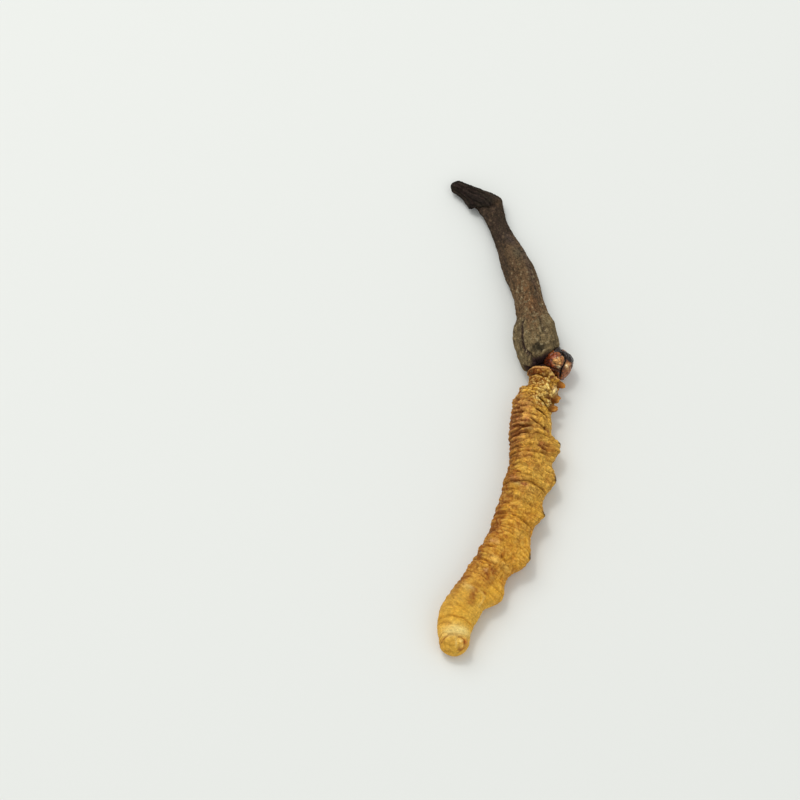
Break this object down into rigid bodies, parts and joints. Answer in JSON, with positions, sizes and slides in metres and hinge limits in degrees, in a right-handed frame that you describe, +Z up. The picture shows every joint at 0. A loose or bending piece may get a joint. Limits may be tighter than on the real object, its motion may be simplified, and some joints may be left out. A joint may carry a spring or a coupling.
{
  "type": "dried cordyceps",
  "caption": "Dried cordyceps: a ringed, golden-brown larva with stubby legs and a glossy head, and a dark, folded stroma that grew out of it, lying on its flank.",
  "frame": {"origin": "centre of the object's footprint box, on the surface it lies on", "axes": "+Y from the larva's tail to the stroma's tip, +X towards the larva's belly and legs, +Z up"},
  "size_m": [0.0182, 0.0686, 0.0049],
  "materials": {
    "larva_cuticle": "dry, pebbled and ringed skin, golden to reddish brown, paler in the tail",
    "head_shell": "glossy reddish-brown horn with near-black edges",
    "stroma_tissue": "matte, finely wrinkled, olive-brown at the base to near black at the tip"
  },
  "bodies": {
    "root": {"larva": "larva_cuticle", "head_capsule": "head_shell", "stroma": "stroma_tissue"}
  },
  "joints": []
}
